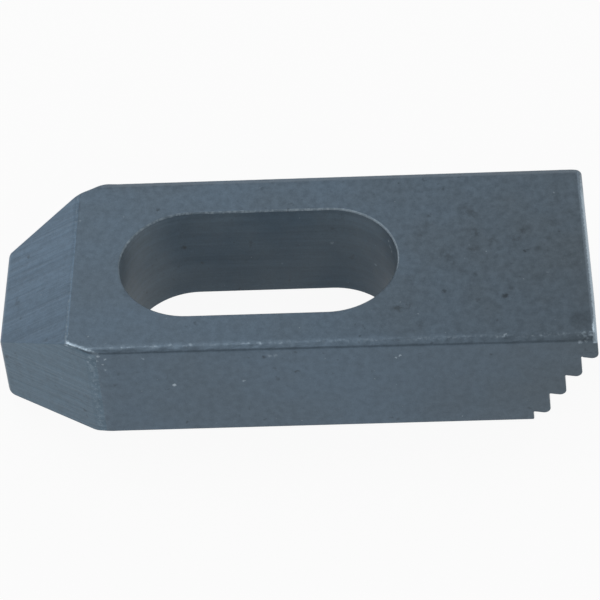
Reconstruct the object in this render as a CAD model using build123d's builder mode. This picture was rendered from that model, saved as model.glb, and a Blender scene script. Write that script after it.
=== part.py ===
"""Step clamp: a slotted steel strap that holds a workpiece down on a machine table.

The strap is one length of rolled bar. Its nose is milled to a blunt, sloped wedge that presses
on the work, a stud passes up through its long slot, and its heel is serrated so that it can be
set at any height on the matching teeth of a step block.

Millimetres. The origin is in the middle of the underside, +Y points from the nose to the heel
and +Z points up, from the underside to the face that the nut tightens on.
"""
import os
from math import cos, radians, sin, tan

from build123d import *

# Bar
bar_length = 63.5        # from the nose to the rounded tips of the heel
bar_width = 25.4
bar_height = 12.7
corner_run = 0.85         # the top and underside fall away over this width along both sides
corner_drop = 0.25        # and by this much
corner_bend_radius = 1.0  # where they start to fall
corner_radius = 0.25      # where they meet the sides

# Nose
nose_width = 12.8
nose_height = 8.15
flank_angle = 30         # each flank, off the bar's sides
slope_angle = 30         # sloping top, off the bar's top
nose_radius = 0.7        # round the milled edges of the nose
toe_radius = 0.7         # under the nose, where it presses on the work

# Stud slot
slot_width = 15.0
slot_length = 29.8       # over its round ends
slot_inset = 13.0        # from the nose to the slot
slot_chamfer = 0.15

# Heel serration
tooth_pitch = 3.28       # along the line of the tips
tooth_line_angle = 60    # line of the tips, off the underside
riser_lean = 4.5         # steep side of a tooth, off upright
tread_slope = 11.5       # shallow side of a tooth, off level
tip_radius = 0.65
root_radius = 0.15
land_height = 2.65       # from the top face down to the first root
shortest_riser = 0.8     # least height left under the lowest root
heel_top_radius = 0.4
heel_toe_radius = 0.2

nose_y = -bar_length / 2
heel_y = bar_length / 2

flank_run = (bar_width - nose_width) / 2 / tan(radians(flank_angle))
slope_run = (bar_height - nose_height) / tan(radians(slope_angle))

# One step of the serration, and the reach of its two sides before they are rounded
lean = radians(riser_lean)
slope = radians(tread_slope)
tooth_run = tooth_pitch * cos(radians(tooth_line_angle))
tooth_rise = tooth_pitch * sin(radians(tooth_line_angle))
riser_length = (tooth_rise * cos(slope) + tooth_run * sin(slope)) / cos(lean + slope)
tread_run = tooth_run + riser_length * sin(lean)
tread_rise = tread_run * tan(slope)
tooth_count = 1 + int((bar_height - land_height - shortest_riser) / tooth_rise)

# A sharp tip would stand this much further out than the rounded one
tip_overhang = tip_radius * ((cos(slope) + sin(lean)) / cos(lean + slope) - 1)
first_tip_y = heel_y + tip_overhang
first_tip_z = bar_height - land_height - tread_rise

# Side view, each corner with its radius: down the heel from the top face, then the nose
heel_top = (first_tip_y - (bar_height - first_tip_z) * tan(lean), bar_height)
side_corners = [heel_top]
side_radii = [heel_top_radius]
for tooth in range(tooth_count):
    tip = (first_tip_y - tooth * tooth_run, first_tip_z - tooth * tooth_rise)
    root = (tip[0] - tread_run, tip[1] + tread_rise)
    side_corners += [tip, root]
    side_radii += [tip_radius, root_radius]
side_corners.append((root[0] + root[1] * tan(lean), 0))
side_radii.append(heel_toe_radius)
side_corners += [(nose_y, 0), (nose_y, nose_height), (nose_y + slope_run, bar_height)]
side_radii += [toe_radius, nose_radius, nose_radius]

with BuildPart() as clamp:
    # Rolled bar, cut to length: one quarter of its section, mirrored both ways
    bar_end = Plane((0, heel_y, bar_height / 2), x_dir=(1, 0, 0), z_dir=(0, -1, 0))
    with BuildSketch(bar_end):
        with BuildLine():
            FilletPolyline(
                (0, bar_height / 2),
                (bar_width / 2 - corner_run, bar_height / 2),
                (bar_width / 2, bar_height / 2 - corner_drop),
                (bar_width / 2, 0),
                radius=[corner_bend_radius, corner_radius],
            )
            mirror(about=Plane.YZ)
            mirror(about=Plane.XZ)
        make_face()
    extrude(amount=bar_length)

    # Side view: sloping nose and serrated heel
    with BuildSketch(Plane.YZ):
        with BuildLine():
            FilletPolyline(*side_corners, radius=side_radii, close=True)
        make_face()
    extrude(amount=bar_width / 2, both=True, mode=Mode.INTERSECT)

    # Plan view: flanks that narrow the nose
    with BuildSketch(Plane.XY):
        with BuildLine():
            FilletPolyline(
                (bar_width / 2, heel_y),
                (bar_width / 2, nose_y + flank_run),
                (nose_width / 2, nose_y),
                (0, nose_y),
                radius=nose_radius,
            )
            Polyline((0, nose_y), (0, heel_y), (bar_width / 2, heel_y))
        make_face()
        mirror(about=Plane.YZ)
    extrude(amount=bar_height, mode=Mode.INTERSECT)

    # Stud slot, chamfered on both faces
    slot_y = nose_y + slot_inset + slot_length / 2
    with BuildSketch(Plane.XY):
        with Locations((0, slot_y)):
            SlotOverall(slot_length, slot_width, rotation=90)
    extrude(amount=bar_height, mode=Mode.SUBTRACT)
    slot_rims = clamp.edges(Select.LAST).group_by(Axis.Z)
    chamfer(slot_rims[0] + slot_rims[-1], slot_chamfer)

clamp.part.label = "step_clamp"

os.makedirs("parts", exist_ok=True)
export_step(clamp.part, "parts/step_clamp.step")
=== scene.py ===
"""Step clamp: the looks of a slotted steel strap clamp, blackened, lying on a pale bench.

Metres, in the part's own frame: the nose is at -Y, the serrated heel at +Y, the underside at
z = 0, and the face that the nut tightens on is up.
"""

from math import cos, radians, sin, tan

import bmesh
import bpy
from mathutils import Matrix, Vector, noise


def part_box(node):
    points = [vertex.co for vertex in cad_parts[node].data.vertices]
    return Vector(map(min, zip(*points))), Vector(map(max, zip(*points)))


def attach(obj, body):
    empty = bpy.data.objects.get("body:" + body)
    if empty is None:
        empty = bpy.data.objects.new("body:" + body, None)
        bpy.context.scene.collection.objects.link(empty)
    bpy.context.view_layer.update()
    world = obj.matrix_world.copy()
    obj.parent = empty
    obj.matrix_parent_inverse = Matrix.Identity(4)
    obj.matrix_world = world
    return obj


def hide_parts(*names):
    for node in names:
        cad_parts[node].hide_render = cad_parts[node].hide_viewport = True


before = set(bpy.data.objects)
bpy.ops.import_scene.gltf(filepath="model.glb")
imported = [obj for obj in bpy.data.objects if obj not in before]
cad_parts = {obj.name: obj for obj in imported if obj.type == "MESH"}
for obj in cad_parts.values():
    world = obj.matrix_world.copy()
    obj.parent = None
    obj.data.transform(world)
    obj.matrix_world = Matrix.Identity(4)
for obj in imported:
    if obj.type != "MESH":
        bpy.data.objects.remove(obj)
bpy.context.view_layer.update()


# ---- Clamp -----------------------------------------------------------------------------------
# One length of rolled steel bar. The nose is milled to a blunt wedge, the stud slot is milled
# through and the heel is serrated, all with a cutter that leaves fine lines; then the edges are
# filed or worn round and the whole piece is blackened.
mm = 0.001
low, high = (Vector(corner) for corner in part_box("step_clamp"))
far, near = -1, 1                                 # the two long sides, at -X and +X

# The drawn shape
nose_half_width = 6.4 * mm
nose_height = 8.15 * mm
nose_angle = radians(30)
nose_length = 12 * mm                             # holds the flanks and the slope
toe_radius = 0.7 * mm
slope_top_y = low.y + (high.z - nose_height) / tan(nose_angle)
slope_out = Vector((0, -sin(nose_angle), cos(nose_angle)))
slot_nose_end = -19.0 * mm                        # holds the slot with its rim
slot_heel_end = 11.3 * mm
slot_half_width = 7.7 * mm
heel_starts = 24.9 * mm                           # the teeth are beyond this
land_height = 2.65 * mm                           # upright face above the teeth

# How this one came off the machine and the file
flank_full = {far: 0.075 * mm, near: 0.11 * mm}   # the flanks are this much too full,
full_depth = 0.6 * mm                             # less and less over this depth behind them
full_from_end = 1.2 * mm                          # and towards the end of the nose
corner_round = {far: 3 * mm, near: 2.5 * mm}      # upright corners between flank and side
rear_corner = {far: 0.6 * mm, near: 0.1 * mm}     # upright corners at the heel
edge_round = {far: 0.2 * mm, near: 0.3 * mm}      # long edges of the top
edge_round_at_nose = 0.08 * mm
heel_round = 0.75 * mm                            # top edge of the heel
under_round = 0.06 * mm                           # edges of the underside
rear_out = Vector((-0.018, 1, 0))                 # the heel end is a little out of square
fall_width = 1.0 * mm                             # the top falls away along the near side,
fall_angle = radians(13)                          # a little more towards the heel
fall_out = Vector((sin(fall_angle), 0.001, cos(fall_angle)))
fall_round = 2 * mm
lean_out = Vector((1, -0.0022, 0.008))            # the near side leans a little
lean_at = Vector((high.x, 20 * mm, 5 * mm))
facet_length = 12.5 * mm                          # and is filed back next to the nose
facet_turn = radians(7)
facet_round = 0.02 * mm
file_width = 0.35 * mm                            # filed facet on top of the near flank,
file_angle = radians(11)                          # wider towards the side
file_turn = radians(5)
tooth_side_round = 0.12 * mm
slot_rim_round = 0.05 * mm

steel = bmesh.new()
steel.from_mesh(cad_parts["step_clamp"].data)
bmesh.ops.remove_doubles(steel, verts=steel.verts, dist=0.001 * mm)
bmesh.ops.dissolve_limit(steel, angle_limit=radians(0.3), verts=steel.verts, edges=steel.edges)


def share(value, start, end):
    """How far a value has come from the start, at 0, to the end, at 1."""
    return min(1, max(0, (value - start) / (end - start)))


def centre(face):
    return face.calc_center_median()


def furthest(face, axis):
    """How far a face reaches along x, y or z."""
    return max(getattr(vert.co, axis) for vert in face.verts)


def in_slot(point):
    return abs(point.x) < slot_half_width and slot_nose_end < point.y < slot_heel_end


# Each face has the finish of the tool that made it; the finishes are added in this order below
ROLLED, SLOPE, FLANK, SLOT, HEEL = range(5)
for face in steel.faces:
    at, out = centre(face), face.normal
    faces_nose = out.y < -0.02
    faces_heel_or_down = abs(out.x) < 0.1 and (out.y > 0.1 or out.z < -0.9)
    between_top_and_underside = low.z + 0.1 * mm < at.z < high.z - 0.1 * mm
    if in_slot(at) and abs(out.z) < 0.8:
        face.material_index = SLOT
    elif faces_nose and at.y < low.y + nose_length:
        face.material_index = FLANK if abs(out.x) > 0.1 else SLOPE
    elif faces_heel_or_down and at.y > heel_starts and between_top_and_underside:
        face.material_index = HEEL


def cut_across(faces, where, direction):
    """Cuts these faces along a plane, so that their points can be moved on both sides of it."""
    parts = dict.fromkeys(faces)
    for face in faces:
        parts.update(dict.fromkeys([*face.edges, *face.verts]))
    bmesh.ops.bisect_plane(steel, geom=list(parts), dist=0.002 * mm, plane_co=where,
                           plane_no=direction)


# The surface that everything is filed down to. Each of these is a function that tells how far
# outside a face of the clamp a point is, and the way out of it.
def plane(where, outward):
    """A flat face of the clamp."""
    where, outward = Vector(where), Vector(outward).normalized()
    return lambda point: ((point - where).dot(outward), outward)


def toe(point):
    """The round under the nose."""
    out = Vector((0, min(point.y - low.y - toe_radius, 0), min(point.z - toe_radius, 0)))
    return (out.length - toe_radius, out.normalized()) if out.length else (-1, Vector((0, 0, -1)))


def outermost(*faces):
    """Several faces that meet in sharp edges."""
    return lambda point: max((face(point) for face in faces), key=lambda reach: reach[0])


def rounded(first, second, radius):
    """Two faces with the edge between them rounded; the radius may change along the edge."""
    def reach(point):
        this_round = radius(point) if callable(radius) else radius
        (a, a_out), (b, b_out) = first(point), second(point)
        sharp = (a, a_out) if a > b else (b, b_out)
        alike = a_out.dot(b_out)
        if alike > 0.9999:
            return sharp
        a_share = (a + this_round - alike * (b + this_round)) / (1 - alike * alike)
        b_share = (b + this_round - alike * (a + this_round)) / (1 - alike * alike)
        if min(a_share, b_share) <= 0:
            return sharp
        way = a_out * a_share + b_out * b_share
        return way.length - this_round, way.normalized()
    return reach


def growing(*stations):
    """A radius that changes along the clamp, given at a few places from the nose to the heel."""
    def radius(point):
        for (start, before), (end, after) in zip(stations, stations[1:]):
            if point.y < end:
                return before + (after - before) * share(point.y, start, end)
        return stations[-1][1]
    return radius


def crest_round(point):
    """The top breaks over into the slope softly on the far side and sharply on the near side."""
    return (0.1 + 2.6 * share(point.x, -3.5 * mm, -7 * mm)) * mm


def flank_out(side):
    """The way out of the flank on this side."""
    return Vector((side * cos(nose_angle), -sin(nose_angle), 0))


def flank_end(side):
    """Where the drawn flank meets the end of the nose, on the underside."""
    return Vector((side * nose_half_width, low.y, 0))


slope_face = plane((0, low.y, nose_height), slope_out)
around = plane((high.x, high.y, 0), rear_out)
under = outermost(plane((0, 0, low.z), (0, 0, -1)), toe)
fall = plane((high.x - fall_width, 0, high.z), fall_out)
upper = rounded(plane((0, 0, high.z), (0, 0, 1)), fall, fall_round)
body = outermost(upper, around, under, plane((0, low.y, 0), (0, -1, 0)))

near_flank_top = flank_end(near) + Vector((0, 0, high.z)) + flank_out(near) * flank_full[near]
along_flank = Vector((sin(nose_angle), cos(nose_angle), 0))
file_from = near_flank_top + along_flank * (slope_top_y - low.y) / cos(nose_angle)
file_out = Vector((cos(nose_angle - file_turn), -sin(nose_angle - file_turn), 0))
filed = plane(file_from - flank_out(near) * file_width,
              file_out * sin(file_angle) + Vector((0, 0, cos(file_angle))))
upper = rounded(outermost(upper, filed), slope_face, crest_round)

for side in (far, near):
    side_face = plane((side * high.x, 0, 0), (side, 0, 0))
    if side == near:
        facet = plane((high.x, low.y + facet_length, 0), (cos(facet_turn), -sin(facet_turn), 0))
        side_face = rounded(outermost(side_face, plane(lean_at, lean_out)), facet, facet_round)
    flank_face = plane(flank_end(side) + flank_out(side) * flank_full[side], flank_out(side))
    wall = rounded(side_face, flank_face, corner_round[side])
    wall = rounded(wall, around, rear_corner[side])
    wall_top = rounded(wall, upper, growing(
        (slope_top_y - 0.2 * mm, edge_round_at_nose), (slope_top_y + 1.5 * mm, edge_round[side]),
        (high.y - 3 * mm, edge_round[side]), (high.y - 0.8 * mm, heel_round)))
    body = outermost(body, wall_top, rounded(wall, under, under_round))

# Finer faces along all the edges that are rounded, at these distances from them
depths = [step * mm for step in (0.03, 0.06, 0.1, 0.15, 0.2, 0.26, 0.33, 0.4, 0.5, 0.6)]
rows_on_top = [row * mm for row in (1.5, 1.35, 1.25, 1.15, 1.05, 0.95, 0.85, 0.75, 0.65, 0.55, 0.45,
                                    0.35, 0.25, 0.15, 0.08)]
rows_down_side = [row * mm for row in (0.1, 0.2, 0.3, 0.37, 0.44, 0.51, 0.58, 0.66)]
rows_at_crest = [row * mm for row in (-0.4, -0.25, -0.12, 0.12, 0.25, 0.4)]
edge_width = 1.7 * mm
edge_drop = 0.8 * mm
heel_edge_width = 1 * mm
worn_gap = 0.3 * mm                               # between cuts across the long edges and crest
heel_gap = 0.5 * mm                               # between cuts across the heel edge


def stations(start, end, gap):
    """Places from the start to the end, one gap apart."""
    while start < end:
        yield start
        start += gap


def rolled_faces(wanted):
    """Faces of the bar as it was rolled, for which wanted(face) is true."""
    return [face for face in steel.faces if face.material_index == ROLLED and wanted(face)]


def side_faces(side):
    return rolled_faces(lambda face: side * face.normal.x > 0.9)


def edge_faces(side):
    """The strips on both sides of a long edge of the top."""
    return rolled_faces(lambda face: face.normal.z > -0.1 and centre(face).z > high.z - edge_drop
                        and side * centre(face).x > high.x - edge_width)


def nearest_nose(face):
    """How far a face reaches towards the nose."""
    return min(vert.co.y for vert in face.verts)


for side in (far, near):
    top = rolled_faces(lambda face: face.normal.z > 0.1)
    cut_across(top, (side * (high.x - edge_width), 0, 0), (side, 0, 0))
    cut_across(side_faces(side), (0, 0, high.z - edge_drop), (0, 0, 1))
    for row in rows_on_top:
        cut_across(edge_faces(side), (side * (high.x - row), 0, 0), (side, 0, 0))
    for row in rows_down_side:
        cut_across(side_faces(side), (0, 0, high.z - row), (0, 0, 1))
    for depth in depths:
        nose = [face for face in steel.faces if nearest_nose(face) < low.y + nose_length]
        cut_across(nose, flank_end(side) - flank_out(side) * depth, flank_out(side))
        for where, direction in (((0, 0, high.z - depth), (0, 0, 1)),
                                 ((0, 0, low.z + depth), (0, 0, -1)),
                                 ((side * (high.x - depth), 0, 0), (side, 0, 0)),
                                 (Vector((0, low.y, nose_height)) - slope_out * depth, slope_out)):
            flanks = [face for face in steel.faces if face.material_index == FLANK]
            cut_across(flanks, where, direction)


def crest_faces(wanted):
    """Faces of the top and the slope, which meet in the crest."""
    return [face for face in steel.faces if face.normal.z > 0.8
            and face.material_index in (ROLLED, SLOPE) and wanted(face)]


for row in rows_at_crest:
    beside_crest = crest_faces(lambda face: nearest_nose(face) < slope_top_y + 0.5 * mm)
    cut_across(beside_crest, (0, slope_top_y + row, 0), (0, 1, 0))
for station in stations(-high.x, high.x, worn_gap):
    crest = crest_faces(lambda face: abs(centre(face).y - slope_top_y) < 0.3 * mm
                        and furthest(face, "x") > station)
    cut_across(crest, (station, 0, 0), (1, 0, 0))


def heel_top_faces():
    """The end of the top, and the upright land under it."""
    return [face for face in steel.faces if furthest(face, "y") > high.y - heel_edge_width
            and centre(face).z > high.z - land_height]


def land_faces():
    """The upright land above the teeth."""
    return [face for face in steel.faces if centre(face).y > high.y - 0.2 * mm]


for depth in depths[1:] + [0.7 * mm, 0.8 * mm]:
    cut_across(heel_top_faces(), (high.x, high.y - depth, 0), rear_out)
    far_rear = [face for face in side_faces(far) if furthest(face, "y") > high.y - heel_edge_width]
    cut_across(far_rear, (high.x, high.y - depth, 0), rear_out)
    cut_across(land_faces(), (0, 0, high.z - depth), (0, 0, 1))
    if depth < 0.2 * mm:
        cut_across(land_faces(), (high.x - depth, 0, 0), (1, 0, 0))
    cut_across(land_faces(), (low.x + depth, 0, 0), (-1, 0, 0))
for station in stations(low.x + heel_gap, high.x, heel_gap):
    heel_edge = [face for face in heel_top_faces() if furthest(face, "x") > station]
    cut_across(heel_edge, (station, 0, 0), (1, 0, 0))
for station in stations(low.y + nose_length, high.y, worn_gap):
    strips = [face for face in edge_faces(far) + edge_faces(near) if furthest(face, "y") > station]
    cut_across(strips, (0, station, 0), (0, 1, 0))

# The flanks were left a little full by the cutter
for vert in steel.verts:
    for side in (far, near):
        if vert.co.x * side > 0:
            inside = -(vert.co - flank_end(side)).dot(flank_out(side))
            fullness = share(inside, full_depth, 0)
            fullness *= share(vert.co.y, low.y, low.y + full_from_end)
            vert.co += flank_out(side) * flank_full[side] * fullness

# Where edges meet, a point is filed down by one face after another
strokes = 8
flush = 0.0005 * mm
for vert in steel.verts:
    for _ in range(strokes):
        proud, out = body(vert.co)
        if proud < flush:
            break
        vert.co -= out * proud


def break_edges(width, segments, wanted):
    """Rounds the edges for which wanted(edge, two faces) is true, as a file or a tumbler does."""
    edges = [edge for edge in steel.edges
             if len(edge.link_faces) == 2 and wanted(edge, *edge.link_faces)]
    bmesh.ops.bevel(steel, geom=edges, offset=width, offset_type="OFFSET", segments=segments,
                    profile=0.5, affect="EDGES", material=-1, clamp_overlap=False)


def is_tooth_side(edge, one, other):
    """Where the teeth meet the sides of the clamp."""
    return (edge.calc_face_angle(0) > radians(40)
            and {one.material_index, other.material_index} == {HEEL, ROLLED}
            and max(around(vert.co)[0] for vert in edge.verts) < -0.9 * mm)


def is_slot_rim(edge, one, other):
    """Both edges of the slot's chamfer, which lies at 45 degrees."""
    return (abs(edge.calc_face_angle(0) - radians(45)) < 0.02
            and abs(edge.verts[0].co.x) < slot_half_width and edge.verts[0].co.y < slot_heel_end)


break_edges(tooth_side_round, 3, is_tooth_side)
break_edges(slot_rim_round, 2, is_slot_rim)

# The long edges of the top and the crest above the slope are knocked about a little
dent_length = 0.6 * mm
dent_depth = {far: 0.012 * mm, near: 0.03 * mm}
crest_dent_depth = 0.012 * mm
dented_width = 1.4 * mm


def dents(point):
    """A bumpy pattern from -1 to 1."""
    return noise.noise(point / dent_length)


for vert in steel.verts:
    side = near if vert.co.x > 0 else far
    outward = (abs(vert.co.x) - high.x + dented_width) / dented_width
    if outward > 0 and vert.co.z > high.z - edge_drop and vert.co.y > low.y + nose_length:
        dented = min(1, 3 * outward) * share(vert.co.z, high.z - edge_drop, high.z - 0.5 * mm)
        vert.co.z -= dented * dent_depth[side] * max(0, 0.5 + dents(vert.co))
    dented = share(abs(vert.co.y - slope_top_y), 0.25 * mm, 0.13 * mm)
    if dented and vert.co.z > high.z - 0.3 * mm:
        vert.co.z -= dented * crest_dent_depth * max(0, 0.5 + 1.5 * dents(vert.co))

# Points that were pushed onto one another become one
bmesh.ops.remove_doubles(steel, verts=steel.verts, dist=0.006 * mm)
bmesh.ops.dissolve_degenerate(steel, edges=steel.edges, dist=0.003 * mm)


# Wear and painted highlights. Each of these tells how far a spot is painted towards bright bare
# steel, from 0 for untouched black to 1 for bright: worn steel, and painted highlights and
# reflections where edges catch the light.
def ridge(value, middle, width):
    """1 at the middle, falling to 0 at this width on both sides of it."""
    return max(0, 1 - abs(value - middle) / width)


def crest_wear_and_highlight(spot, broken):
    """Worn steel and a painted highlight along the crest, brightest at the near end and faint in the
    middle.
    """
    nearness = share(spot.x, -nose_half_width, nose_half_width)
    faint = 1 - 0.7 * min(1, 1.5 * ridge(spot.x, -1.8 * mm, 4.5 * mm))
    return broken * faint * (0.3 + 0.35 * nearness ** 3) * ridge(spot.y, slope_top_y, 0.15 * mm)


def edge_beads_and_highlight(spot, broken):
    """A painted highlight line along the near long edge, with worn bright beads in it, and chips next
    to the heel.
    """
    inward = high.x - spot.x
    beads = max(0.11 * broken, noise.noise(spot / (0.55 * mm)) - 0.12)
    chips = max(0, 6 * noise.noise(spot / (0.4 * mm))) * max(0, 1 + around(spot)[0] / (2.4 * mm))
    return max(beads * ridge(inward, 0.95 * mm, 0.35 * mm), chips * ridge(inward, 0.8 * mm, 0.7 * mm))


def painted_flank_top_highlight(spot):
    """A painted highlight along the filed facet on top of the near flank, brightest at the crest."""
    inside = -(spot - near_flank_top).dot(flank_out(near))
    along = share(spot.y, slope_top_y, slope_top_y + 3 * mm)
    line = ridge(inside, (0.2 + 0.25 * along) * mm, (0.34 - 0.1 * along) * mm)
    return line * (1 - 0.5 * along)


def heel_edge_wear_and_reflection(spot, broken):
    """The top edge of the heel, all along and widest at the near corner: a painted reflection along
    the edge, with worn steel at the near corner.
    """
    bright = max(0.15, share(spot.x, low.x, low.x + 4.5 * mm)) * (0.85 + 0.3 * broken)
    width = (0.42 + 0.25 * share(spot.x, 9.5 * mm, 11 * mm)) * mm
    return min(1, bright) * share(-around(spot)[0], width, width - 0.16 * mm)


def painted_corner_highlight(spot):
    """A faint painted highlight down the upright corner between the near flank and the side."""
    return 0.16 * ridge(high.x - spot.x, 0.26 * mm, 0.13 * mm)


def painted_rim_highlight(spot):
    """A painted highlight on the rim of the slot, on its far side and more towards the heel."""
    if not 0.01 * mm < high.z - spot.z < 0.18 * mm:
        return 0
    fades_from = (0.5 if spot.y > 0 else -2.5) * mm
    bright = 0.45 + 0.35 * share(spot.y, slot_heel_end - 12 * mm, slot_heel_end - 6 * mm)
    return bright * max(0.05, share(spot.x, fades_from + 2 * mm, fades_from))


def wear_and_highlights_at(spot):
    """All the wear and painted highlights together: whichever is brightest here."""
    if in_slot(spot):
        return painted_rim_highlight(spot)
    depth = high.z - spot.z
    on_nose = spot.y < low.y + nose_length
    wear_and_highlight = 0
    if depth < 0.6 * mm:
        broken = 0.8 + noise.noise(spot / (0.8 * mm))
        wear_and_highlight = crest_wear_and_highlight(spot, broken)
        if spot.y > slope_top_y and spot.x > 0:
            wear_and_highlight = max(wear_and_highlight, edge_beads_and_highlight(spot, broken))
        if spot.y > slope_top_y and on_nose:
            wear_and_highlight = max(wear_and_highlight, painted_flank_top_highlight(spot))
        wear_and_highlight = max(wear_and_highlight * share(depth, 0.3 * mm, 0.2 * mm), heel_edge_wear_and_reflection(spot, broken))
    if on_nose and spot.x > 0:
        wear_and_highlight = max(wear_and_highlight, painted_corner_highlight(spot))
    return wear_and_highlight


# each point keeps its wear and painted highlight, which the finish turns into bare-steel colour
wear_and_sheen = steel.verts.layers.float.new("wear_and_sheen")
for vert in steel.verts:
    vert[wear_and_sheen] = wear_and_highlights_at(vert.co)

sharp_from = radians(28)
for edge in steel.edges:
    edge.smooth = edge.calc_face_angle(0) < sharp_from
for face in steel.faces:
    face.smooth = True
clamp_mesh = bpy.data.meshes.new("clamp_body")
steel.to_mesh(clamp_mesh)
steel.free()
clamp = bpy.data.objects.new("clamp_body", clamp_mesh)
bpy.context.scene.collection.objects.link(clamp)
flat_faces = clamp.modifiers.new("flat faces", "WEIGHTED_NORMAL")
flat_faces.weight = 100
flat_faces.keep_sharp = True


# The finish
def add(tree, kind, inputs=(), **settings):
    """Adds a node to a finish; an input is given a number or colour, or linked to an output."""
    node = tree.nodes.new("ShaderNode" + kind)
    for name, value in settings.items():
        setattr(node, name, value)
    for socket, value in dict(inputs).items():
        if isinstance(value, bpy.types.NodeSocket):
            tree.links.new(value, node.inputs[socket])
        else:
            node.inputs[socket].default_value = value
    return node


def times(tree, a, b):
    """Two values multiplied."""
    return add(tree, "Math", {0: a, 1: b}, operation="MULTIPLY").outputs[0]


def plus(tree, a, b):
    """Two values added."""
    return add(tree, "Math", {0: a, 1: b}, operation="ADD").outputs[0]


def spread(tree, value, start, end, at_start=0.0, at_end=1.0):
    """Takes values between start and end to values between two others."""
    return add(tree, "MapRange", {"Value": value, "From Min": start, "From Max": end,
                                  "To Min": at_start, "To Max": at_end}).outputs[0]


def shaded(tree, colour, shade):
    """A colour made darker or lighter."""
    return add(tree, "VectorMath", {0: colour, "Scale": shade}, operation="SCALE").outputs[0]


def blend(tree, cover, under, over):
    """A colour over another, as far as cover goes from 0 to 1."""
    return add(tree, "Mix", {0: cover, 6: under, 7: over}, data_type="RGBA").outputs[2]


def mottle(tree, place, size, detail, starts, full, stretch=(1, 1, 1), seed=0.0):
    """A cloudy pattern from 0 to 1, with patches of this size in millimetres."""
    moved = add(tree, "Mapping", {"Vector": place, "Scale": [k / size for k in stretch],
                                  "Location": (seed, seed, seed)}).outputs[0]
    cloud = add(tree, "TexNoise", {"Vector": moved, "Scale": 1.0, "Detail": detail,
                                   "Roughness": 0.6}).outputs["Fac"]
    return spread(tree, cloud, starts, full)


stain_black = (0.045, 0.058, 0.07, 1)
speck_grey = (0.22, 0.27, 0.31, 1)
smudge_black = (0.05, 0.062, 0.073, 1)
pit_black = (0.03, 0.038, 0.045, 1)
nick_bright = (0.35, 0.42, 0.48, 1)
# bare steel, also used for painted highlights and reflections along edges
bare_steel_and_sheen = (0.30, 0.37, 0.43, 1)
relief = 0.008 * mm                               # height of the grain and the cutter lines
ragged_width = 0.5                                # how far the outlines of marks wander, in mm


def marked(tree, ragged, colour, marks, mark_colour, patchy=None):
    """Single marks over a colour: where each is in millimetres, its size and its strength."""
    for *where, size, strength in marks:
        middle = [w + ragged_width / 2 for w in where]
        away = add(tree, "VectorMath", {0: ragged, 1: middle}, operation="DISTANCE").outputs["Value"]
        inside = spread(tree, away, size, size * 0.3, 0.0, strength)
        if patchy is not None:
            inside = times(tree, inside, patchy)
        colour = blend(tree, inside, colour, mark_colour)
    return colour


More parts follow.
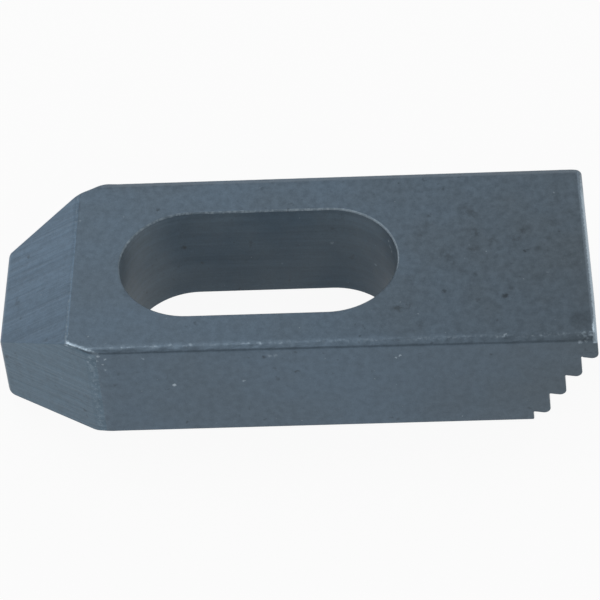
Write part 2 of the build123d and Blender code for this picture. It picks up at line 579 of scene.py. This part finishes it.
def blackened(finish, blue, grey, lines=None, shine=0.36, greyer_between=(5, 32), painted_shade_low=1.0,
              metal=0.85, smudges=(), pits=(), nicks=()):
    """Black-oxide steel: blue-grey and grey patches, dark flecks and stains, and cutter lines.

    The colour goes from blue to grey between two places along the clamp, and painted shade
    makes it darker downwards where asked for. Lines have a direction, a pitch in millimetres and a
    depth.
    """
    steel_finish = bpy.data.materials.new("blackened_" + finish)
    steel_finish.use_nodes = True
    tree = steel_finish.node_tree
    shader = tree.nodes["Principled BSDF"]
    place = add(tree, "Mapping", {"Vector": add(tree, "TexCoord").outputs["Object"],
                                  "Scale": [1 / mm] * 3}).outputs[0]
    axes = add(tree, "SeparateXYZ", {0: place}).outputs

    # blue to grey in patches and along the clamp, darker towards the near side, and painted shade
    # downwards where asked for
    patches = mottle(tree, place, 9.0, 3, 0.38, 0.62)
    along = spread(tree, axes["Y"], *greyer_between)
    greyer = plus(tree, times(tree, patches, 0.35), times(tree, along, 0.65))
    colour = blend(tree, greyer, blue, grey)
    colour = shaded(tree, colour, spread(tree, axes["X"], low.x / mm, high.x / mm, 1.03, 0.88))
    # painted shade, darker towards the underside
    if painted_shade_low < 1:
        colour = shaded(tree, colour, spread(tree, axes["Z"], 2, 11, painted_shade_low, 1.0))

    # flecks and grain, stains, and a few light specks
    flecks = mottle(tree, place, 0.8, 4, 0.35, 0.65, seed=7)
    grain = mottle(tree, place, 0.16, 2, 0.3, 0.7, seed=3)
    speckle = plus(tree, times(tree, flecks, 0.6), times(tree, grain, 0.4))
    colour = shaded(tree, colour, spread(tree, speckle, 0, 1, 0.80, 1.14))
    stains = mottle(tree, place, 1.1, 2, 0.66, 0.74, seed=11)
    stains = times(tree, stains, mottle(tree, place, 9.0, 1, 0.42, 0.6, seed=5))
    colour = blend(tree, times(tree, stains, 0.7), colour, stain_black)
    specks = mottle(tree, place, 0.45, 1, 0.77, 0.82, seed=19)
    colour = blend(tree, times(tree, specks, 0.8), colour, speck_grey)
    rough = spread(tree, flecks, 0, 1, shine, shine + 0.08)
    height = plus(tree, times(tree, grain, 0.35), times(tree, flecks, 0.5))

    if lines:
        direction, pitch, depth = lines
        fine = mottle(tree, place, pitch, 2, 0.3, 0.7, stretch=direction, seed=2)
        broad = mottle(tree, place, pitch * 2.6, 1, 0.3, 0.7, stretch=direction, seed=8)
        height = plus(tree, height, times(tree, plus(tree, fine, broad), depth))
        both = plus(tree, times(tree, fine, 0.5), times(tree, broad, 0.5))
        colour = shaded(tree, colour, spread(tree, both, 0, 1, 0.86, 1.14))

    # single marks, with ragged outlines
    wander = add(tree, "TexNoise", {"Vector": place, "Scale": 3.0, "Detail": 2.0})
    wander = shaded(tree, wander.outputs["Color"], ragged_width)
    ragged = add(tree, "VectorMath", {0: place, 1: wander}, operation="ADD").outputs[0]
    patchy = mottle(tree, place, 0.6, 4, 0.40, 0.60, seed=41)
    colour = marked(tree, ragged, colour, smudges, smudge_black, patchy)
    colour = marked(tree, ragged, colour, pits, pit_black)
    colour = marked(tree, ragged, colour, nicks, nick_bright)

    # bare steel shows where it is worn, and the same colour paints highlights and reflections along
    # edges, first as specks and then all over
    wear_and_sheen_here = add(tree, "Attribute", attribute_name="wear_and_sheen").outputs["Fac"]
    broken_up = times(tree, mottle(tree, place, 0.35, 1, 0.46, 0.62, seed=23), 1.7)
    untouched = add(tree, "Math", {0: 1.0, 1: wear_and_sheen_here}, operation="SUBTRACT").outputs[0]
    in_specks = times(tree, times(tree, wear_and_sheen_here, untouched), broken_up)
    bare_and_sheen = plus(tree, times(tree, wear_and_sheen_here, wear_and_sheen_here), in_specks)
    colour = blend(tree, bare_and_sheen, colour, bare_steel_and_sheen)
    rough = plus(tree, rough, times(tree, bare_and_sheen, -0.12))
    bump = add(tree, "Bump", {"Height": height, "Strength": 1.0, "Distance": relief})

    tree.links.new(colour, shader.inputs["Base Color"])
    tree.links.new(rough, shader.inputs["Roughness"])
    tree.links.new(bump.outputs[0], shader.inputs["Normal"])
    shader.inputs["Metallic"].default_value = metal
    clamp_mesh.materials.append(steel_finish)


near_side_x = 12.6                                # in mm; it leans in a little from 12.7


def on_top(x, y, size, strength):
    """A mark on the top."""
    return x, y, high.z / mm, size, strength


def on_near_side(y, z, size, strength):
    """A mark on the near side."""
    return near_side_x, y, z, size, strength


# Cutter lines: how closely they follow one another along x, y and z
up_the_slope = (1, 0.04, 0.04)
level = (0.04, 0.04, 1)
side_to_side = (0.04, 1, 1)
blackened(
    "rolled", blue=(0.117, 0.164, 0.214, 1), grey=(0.105, 0.135, 0.162, 1),
    smudges=[on_top(-6.8, 18.5, 1.0, 0.45), on_top(-6.1, 19.4, 1.0, 0.45),
             on_top(-3.3, 13.5, 0.9, 0.38), on_top(-4.6, 14.4, 0.8, 0.38),
             on_top(-3.3, 19.2, 1.2, 0.45), on_top(-0.8, 19.2, 1.0, 0.45),
             on_top(-2.1, 21.2, 1.0, 0.38), on_top(-2.0, 23.5, 1.2, 0.45),
             on_top(-3.4, 24.7, 1.0, 0.45), on_top(-0.2, 16.3, 1.2, 0.49),
             on_top(1.3, 16.8, 1.0, 0.45), on_top(2.2, 18.1, 0.9, 0.38),
             on_top(3.1, 12.4, 0.8, 0.38), on_top(7.3, 10.9, 0.9, 0.60),
             on_top(7.0, 11.9, 0.8, 0.60), on_top(9.9, 13.4, 0.8, 0.38),
             on_top(-4.5, 27.8, 1.2, 0.30)],
    pits=[on_top(6.1, 22.3, 0.5, 0.75), on_top(5.0, 23.0, 0.45, 0.35),
          on_top(-2.1, 27.2, 0.5, 0.3), on_top(-0.7, 26.0, 0.6, 0.3),
          on_top(3.5, 26.0, 0.9, 0.25), on_top(5.2, 15.9, 0.4, 0.6),
          on_top(2.9, 19.2, 0.4, 0.45), on_top(-8.2, -14.9, 0.3, 0.6),
          on_top(-11.0, -3.6, 0.3, 0.3), on_top(9.6, 30.0, 1.3, 0.35),
          on_near_side(-3.1, 11.4, 0.3, 0.6)],
    nicks=[on_near_side(-20.4, 12.2, 0.24, 0.9), on_near_side(-19.7, 11.7, 0.22, 0.9),
           on_near_side(-20.6, 11.5, 0.25, 0.4), on_near_side(-20.0, 10.9, 0.2, 0.5),
           on_near_side(-19.8, 10.1, 0.2, 0.35), on_near_side(-15.75, 11.7, 0.2, 0.6),
           on_near_side(-12.8, 7.4, 0.26, 1.0), on_near_side(-5.45, 7.75, 0.18, 0.6),
           on_near_side(-2.5, 11.6, 0.28, 0.3), on_near_side(-1.9, 11.65, 0.28, 0.25),
           on_near_side(10.7, 10.8, 0.2, 0.8), on_near_side(11.1, 11.1, 0.2, 0.8),
           on_near_side(29.8, 12.3, 0.25, 0.5), on_near_side(30.4, 12.35, 0.2, 0.4),
           on_top(-6.9, -23.4, 0.15, 0.35), on_top(11.6, 22.1, 0.2, 0.5)])
blackened("slope", blue=(0.139, 0.206, 0.281, 1), grey=(0.132, 0.194, 0.262, 1),
          lines=(up_the_slope, 0.35, 1.6))
blackened("flank", blue=(0.115, 0.172, 0.224, 1), grey=(0.111, 0.163, 0.212, 1),
          lines=(level, 0.3, 1.9),
          nicks=[(12.45, -21.3, 11.9, 0.2, 0.5), (12.35, -21.6, 11.2, 0.22, 0.4)])
# The slot is partly its milled finish and partly painted shade: darker than the other faces, lighter
# only at its nose end, and painted darker still towards the underside.
blackened("slot", blue=(0.143, 0.187, 0.222, 1), grey=(0.071, 0.113, 0.154, 1),
          lines=(level, 0.35, 0.5), shine=0.46, greyer_between=(-19, -13.5), painted_shade_low=0.8, metal=0.5,
          pits=[(-7.4, -12.5, 7.5, 0.4, 0.8)],
          nicks=[(-3.4, 10.25, 10.8, 0.25, 0.7), (-3.65, 10.1, 11.4, 0.22, 0.7),
                 (-3.05, 10.4, 10.3, 0.22, 0.6), (-7.5, 3.8, 7.4, 0.25, 0.35),
                 (-5.65, 8.5, 5.6, 0.2, 0.5)])
blackened("heel", blue=(0.110, 0.150, 0.190, 1), grey=(0.100, 0.130, 0.160, 1),
          lines=(side_to_side, 0.3, 1.0))
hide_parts("step_clamp")
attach(clamp, "root")


# ---- Bench -----------------------------------------------------------------------------------
# A plain pale table top, large enough to fill every view, a hair under the clamp. Seen directly
# or in gloss it is an even near-white with a faint shadow; the light that it throws back is that
# of matt paint.
bench_half_width = 3.0
bench_gap = 0.02 * mm
bench_paint = (0.8, 0.8, 0.8, 1)
even_white = 0.93
bench = bmesh.new()
bmesh.ops.create_grid(bench, x_segments=1, y_segments=1, size=bench_half_width,
                      matrix=Matrix.Translation((0, 0, -bench_gap)))
bench_mesh = bpy.data.meshes.new("bench")
bench.to_mesh(bench_mesh)
bench.free()
bench_top = bpy.data.objects.new("bench", bench_mesh)
bpy.context.scene.collection.objects.link(bench_top)
pale = bpy.data.materials.new("pale bench")
pale.use_nodes = True
tree = pale.node_tree
tree.nodes.remove(tree.nodes["Principled BSDF"])
matt = add(tree, "BsdfDiffuse", {"Color": bench_paint}).outputs[0]
white = add(tree, "Emission", {"Color": (1, 1, 1, 1)}).outputs[0]
ray = add(tree, "LightPath").outputs
seen = add(tree, "Math", {0: ray["Is Camera Ray"], 1: ray["Is Glossy Ray"]},
           operation="MAXIMUM").outputs[0]
seen = add(tree, "Math", {0: seen, 1: ray["Is Transmission Ray"]},
           operation="MAXIMUM").outputs[0]
bench_top_face = add(tree, "MixShader", {"Fac": times(tree, seen, even_white), 1: matt, 2: white})
tree.links.new(bench_top_face.outputs[0], tree.nodes["Material Output"].inputs["Surface"])
bench_mesh.materials.append(pale)


# ---- Studio ----------------------------------------------------------------------------------
# A room with white walls and a greyer ceiling. Two softboxes hang on the far side of the clamp:
# the key high above it and a little towards the nose, the other lower and towards the heel.
room = bpy.data.worlds.new("studio")
bpy.context.scene.world = room
room.use_nodes = True
tree = room.node_tree
direction = add(tree, "TexCoord").outputs["Generated"]
height = add(tree, "SeparateXYZ", {0: direction}).outputs["Z"]
fade = add(tree, "ValToRGB", {"Fac": height})
wall_white = (1.0, 1.0, 1.0, 1)
ceiling_grey = (0.52, 0.52, 0.52, 1)
overhead_grey = (0.43, 0.43, 0.43, 1)
room_greys = fade.color_ramp.elements
room_greys[0].position = 0.15
room_greys[0].color = wall_white
room_greys[1].position = 0.55
room_greys[1].color = ceiling_grey
room_greys.new(0.82).color = ceiling_grey
room_greys.new(0.97).color = overhead_grey
tree.links.new(fade.outputs["Color"], tree.nodes["Background"].inputs["Color"])
tree.nodes["Background"].inputs["Strength"].default_value = 1.0


def softbox(name, direction, distance, size, power):
    """A square lamp that points at the clamp."""
    lamp = bpy.data.lights.new(name, "AREA")
    lamp.shape = "SQUARE"
    lamp.size = size
    lamp.energy = power
    lamp_object = bpy.data.objects.new(name, lamp)
    place = Vector(direction).normalized() * distance
    lamp_object.location = place
    lamp_object.rotation_euler = (-place).to_track_quat("-Z", "Y").to_euler()
    bpy.context.scene.collection.objects.link(lamp_object)


softbox("key softbox", (-0.42, -0.22, 0.88), distance=0.7, size=0.25, power=0.55)
softbox("back softbox", (-0.68, 0.52, 0.5), distance=0.7, size=0.3, power=0.35)


# ---- Camera ----------------------------------------------------------------------------------
# A long lens that looks down on the near side at about 47 degrees, with the nose to the left.
# The camera is rolled by about 5 degrees.
lens = bpy.data.cameras.new("camera")
lens.lens = 177.79
lens.sensor_width = 36
camera = bpy.data.objects.new("camera", lens)
stand = Vector((0.218018, 0.015785, 0.241729))
right = Vector((-0.01042028, 0.99837047, -0.05610547))
up = Vector((-0.73422079, 0.0304511, 0.67822751))
back = right.cross(up)
turned = Matrix((right, up, back)).transposed().to_4x4()
camera.matrix_world = Matrix.Translation(stand) @ turned
bpy.context.scene.collection.objects.link(camera)
bpy.context.scene.camera = camera
bpy.context.scene.view_settings.view_transform = "Standard"
